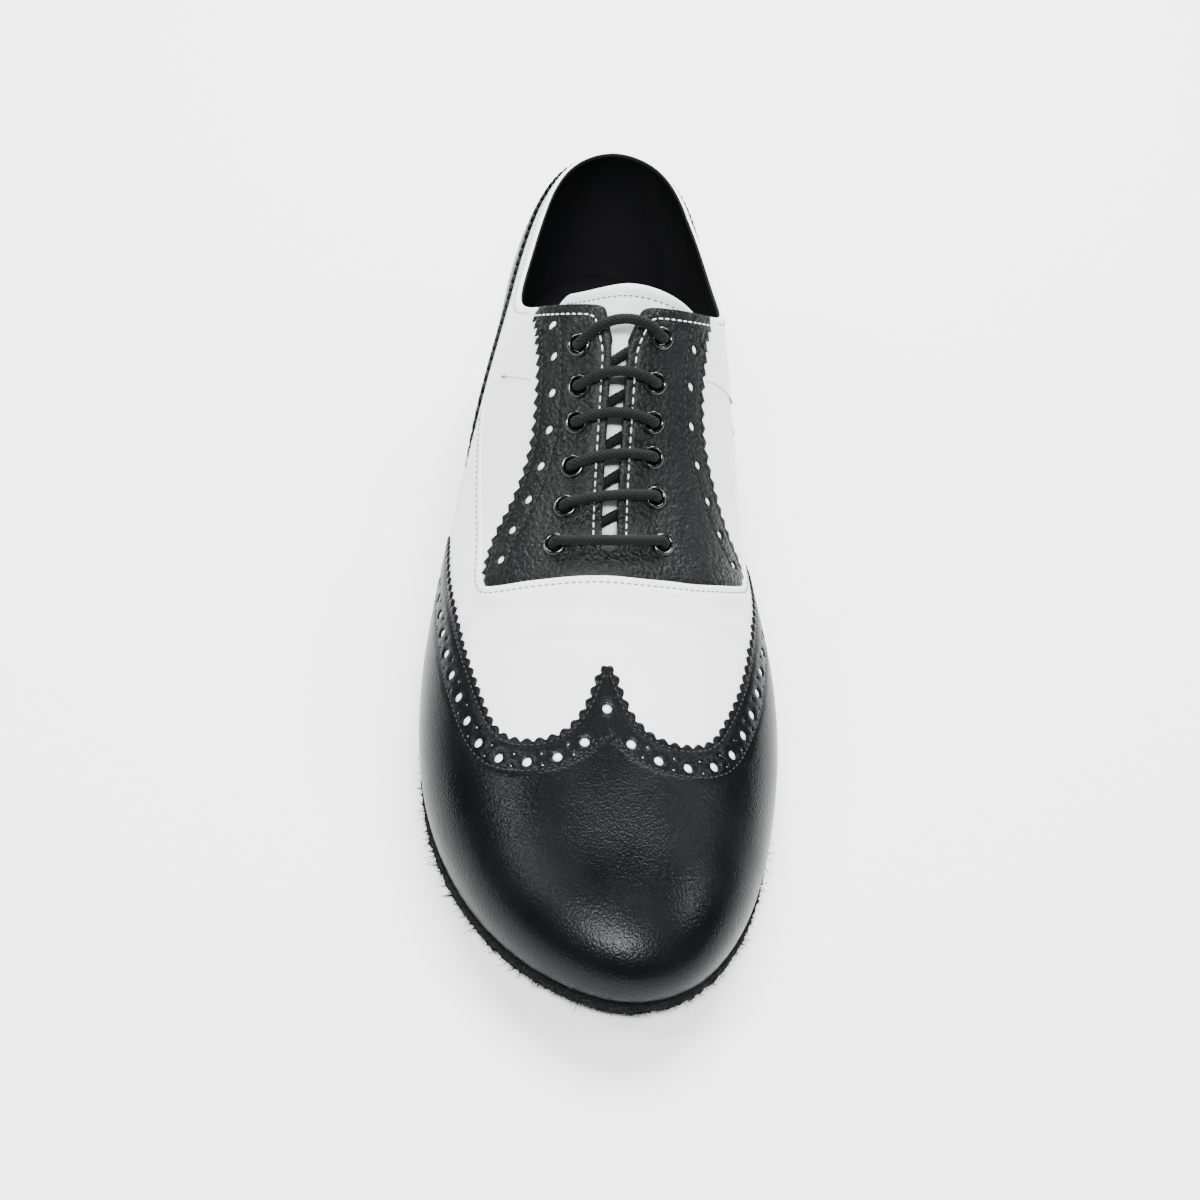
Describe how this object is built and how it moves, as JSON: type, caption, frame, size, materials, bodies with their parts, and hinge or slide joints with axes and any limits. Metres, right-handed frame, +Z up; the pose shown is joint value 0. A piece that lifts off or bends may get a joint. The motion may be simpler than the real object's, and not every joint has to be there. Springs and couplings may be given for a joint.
{
  "type": "lace-up dance shoe",
  "caption": "Right two-tone wingtip lace-up shoe with a hollow leather upper, black toe cap, facing and counter, laces, thin sole and low heel.",
  "frame": {"origin": "on the floor, below the middle of the shoe's length and width", "axes": "-Y towards the toe, +Y towards the heel, +X towards the inner side of the foot, +Z up from the floor"},
  "size_m": [0.1038, 0.2813, 0.1065],
  "materials": {
    "white_leather": "smooth satin white leather",
    "black_leather": "fine-grained satin black leather",
    "black_suede": "napped black suede",
    "black_heel": "painted and polished stacked heel",
    "black_lining": "matte black lining leather",
    "black_lace": "braided round cotton cord",
    "black_metal": "glossy black enamel"
  },
  "bodies": {
    "root": {"upper": "white_leather", "tongue": "white_leather", "toe_cap": "black_leather", "facing": "black_leather", "counter": "black_leather", "outsole": "black_suede", "heel_tip": "black_suede", "heel": "black_heel", "insole": "black_lining", "lace": "black_lace", "eyelet_outer_1": "black_metal", "eyelet_outer_2": "black_metal", "eyelet_outer_3": "black_metal", "eyelet_outer_4": "black_metal", "eyelet_outer_5": "black_metal", "eyelet_outer_6": "black_metal", "eyelet_inner_1": "black_metal", "eyelet_inner_2": "black_metal", "eyelet_inner_3": "black_metal", "eyelet_inner_4": "black_metal", "eyelet_inner_5": "black_metal", "eyelet_inner_6": "black_metal"}
  },
  "joints": []
}
